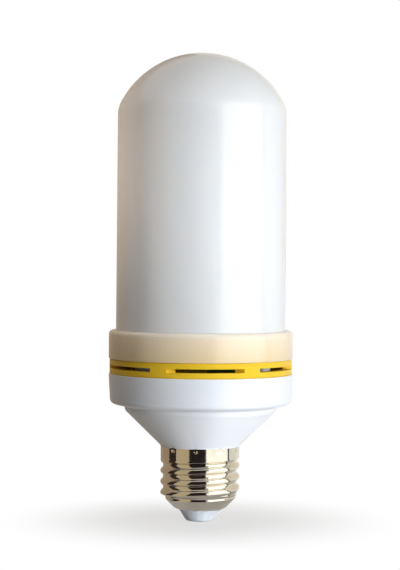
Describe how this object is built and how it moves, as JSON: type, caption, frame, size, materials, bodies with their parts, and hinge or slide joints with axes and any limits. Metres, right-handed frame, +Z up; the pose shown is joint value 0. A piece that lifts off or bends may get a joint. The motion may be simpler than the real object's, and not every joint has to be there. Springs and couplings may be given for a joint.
{
  "type": "flame effect led bulb",
  "caption": "Capsule-shaped flame effect LED bulb: screw cap, stepped white housing, slotted yellow vent ring, cream collar and tall frosted diffuser over a drum of LEDs.",
  "frame": {"origin": "centre of the centre contact's face, on the bulb's axis", "axes": "+Z up the bulb's axis from the cap to the dome; -Y towards the middle vent slot of the front"},
  "size_m": [0.061, 0.061, 0.155],
  "materials": {
    "cap_metal": "nickel-plated rolled sheet, bright",
    "insulator": "bluish white moulded insulator, smooth",
    "contact_metal": "plated contact head, satin",
    "housing": "cool white moulded plastic, semi-gloss",
    "vent_ring": "yellow moulded plastic, semi-gloss",
    "collar": "cream translucent moulded plastic",
    "diffuser": "milky frosted plastic, smooth outside",
    "inner_plastic": "off-white moulded plastic",
    "fixing_steel": "zinc-plated steel",
    "flex_board": "white solder mask on a flexible board",
    "led_package": "white package with a yellow phosphor window",
    "circuit_board": "green solder mask",
    "capacitor_sleeve": "dark shrink sleeve on an aluminium can",
    "film_capacitor": "dipped red-brown body",
    "resistor_body": "green-grey coated body",
    "chip_body": "black moulded package",
    "ferrite": "dark sintered ferrite",
    "bobbin": "black moulded bobbin",
    "winding_tape": "yellow insulating tape",
    "wire_red": "red insulation",
    "wire_blue": "blue insulation",
    "wire_black": "black insulation",
    "wire_white": "white insulation"
  },
  "bodies": {
    "root": {"screw_shell": "cap_metal", "insulator": "insulator", "centre_contact": "contact_metal", "housing": "housing", "vent_ring": "vent_ring", "collar_ring": "collar", "diffuser": "diffuser", "core_plate": "inner_plastic", "plate_screws": "fixing_steel", "core_tube": "inner_plastic", "flame_board": "flex_board", "flame_leds": "led_package", "core_cap": "inner_plastic", "driver_board": "circuit_board", "input_capacitor": "capacitor_sleeve", "output_capacitor": "capacitor_sleeve", "film_capacitor": "film_capacitor", "fuse_resistor": "resistor_body", "bridge_rectifier": "chip_body", "driver_chip": "chip_body", "transformer_core": "ferrite", "transformer_bobbin": "bobbin", "transformer_winding": "winding_tape", "control_board": "circuit_board", "control_chip": "chip_body", "live_wire": "wire_red", "neutral_wire": "wire_blue", "positive_wire": "wire_red", "negative_wire": "wire_black", "signal_wires": "wire_white"}
  },
  "joints": []
}
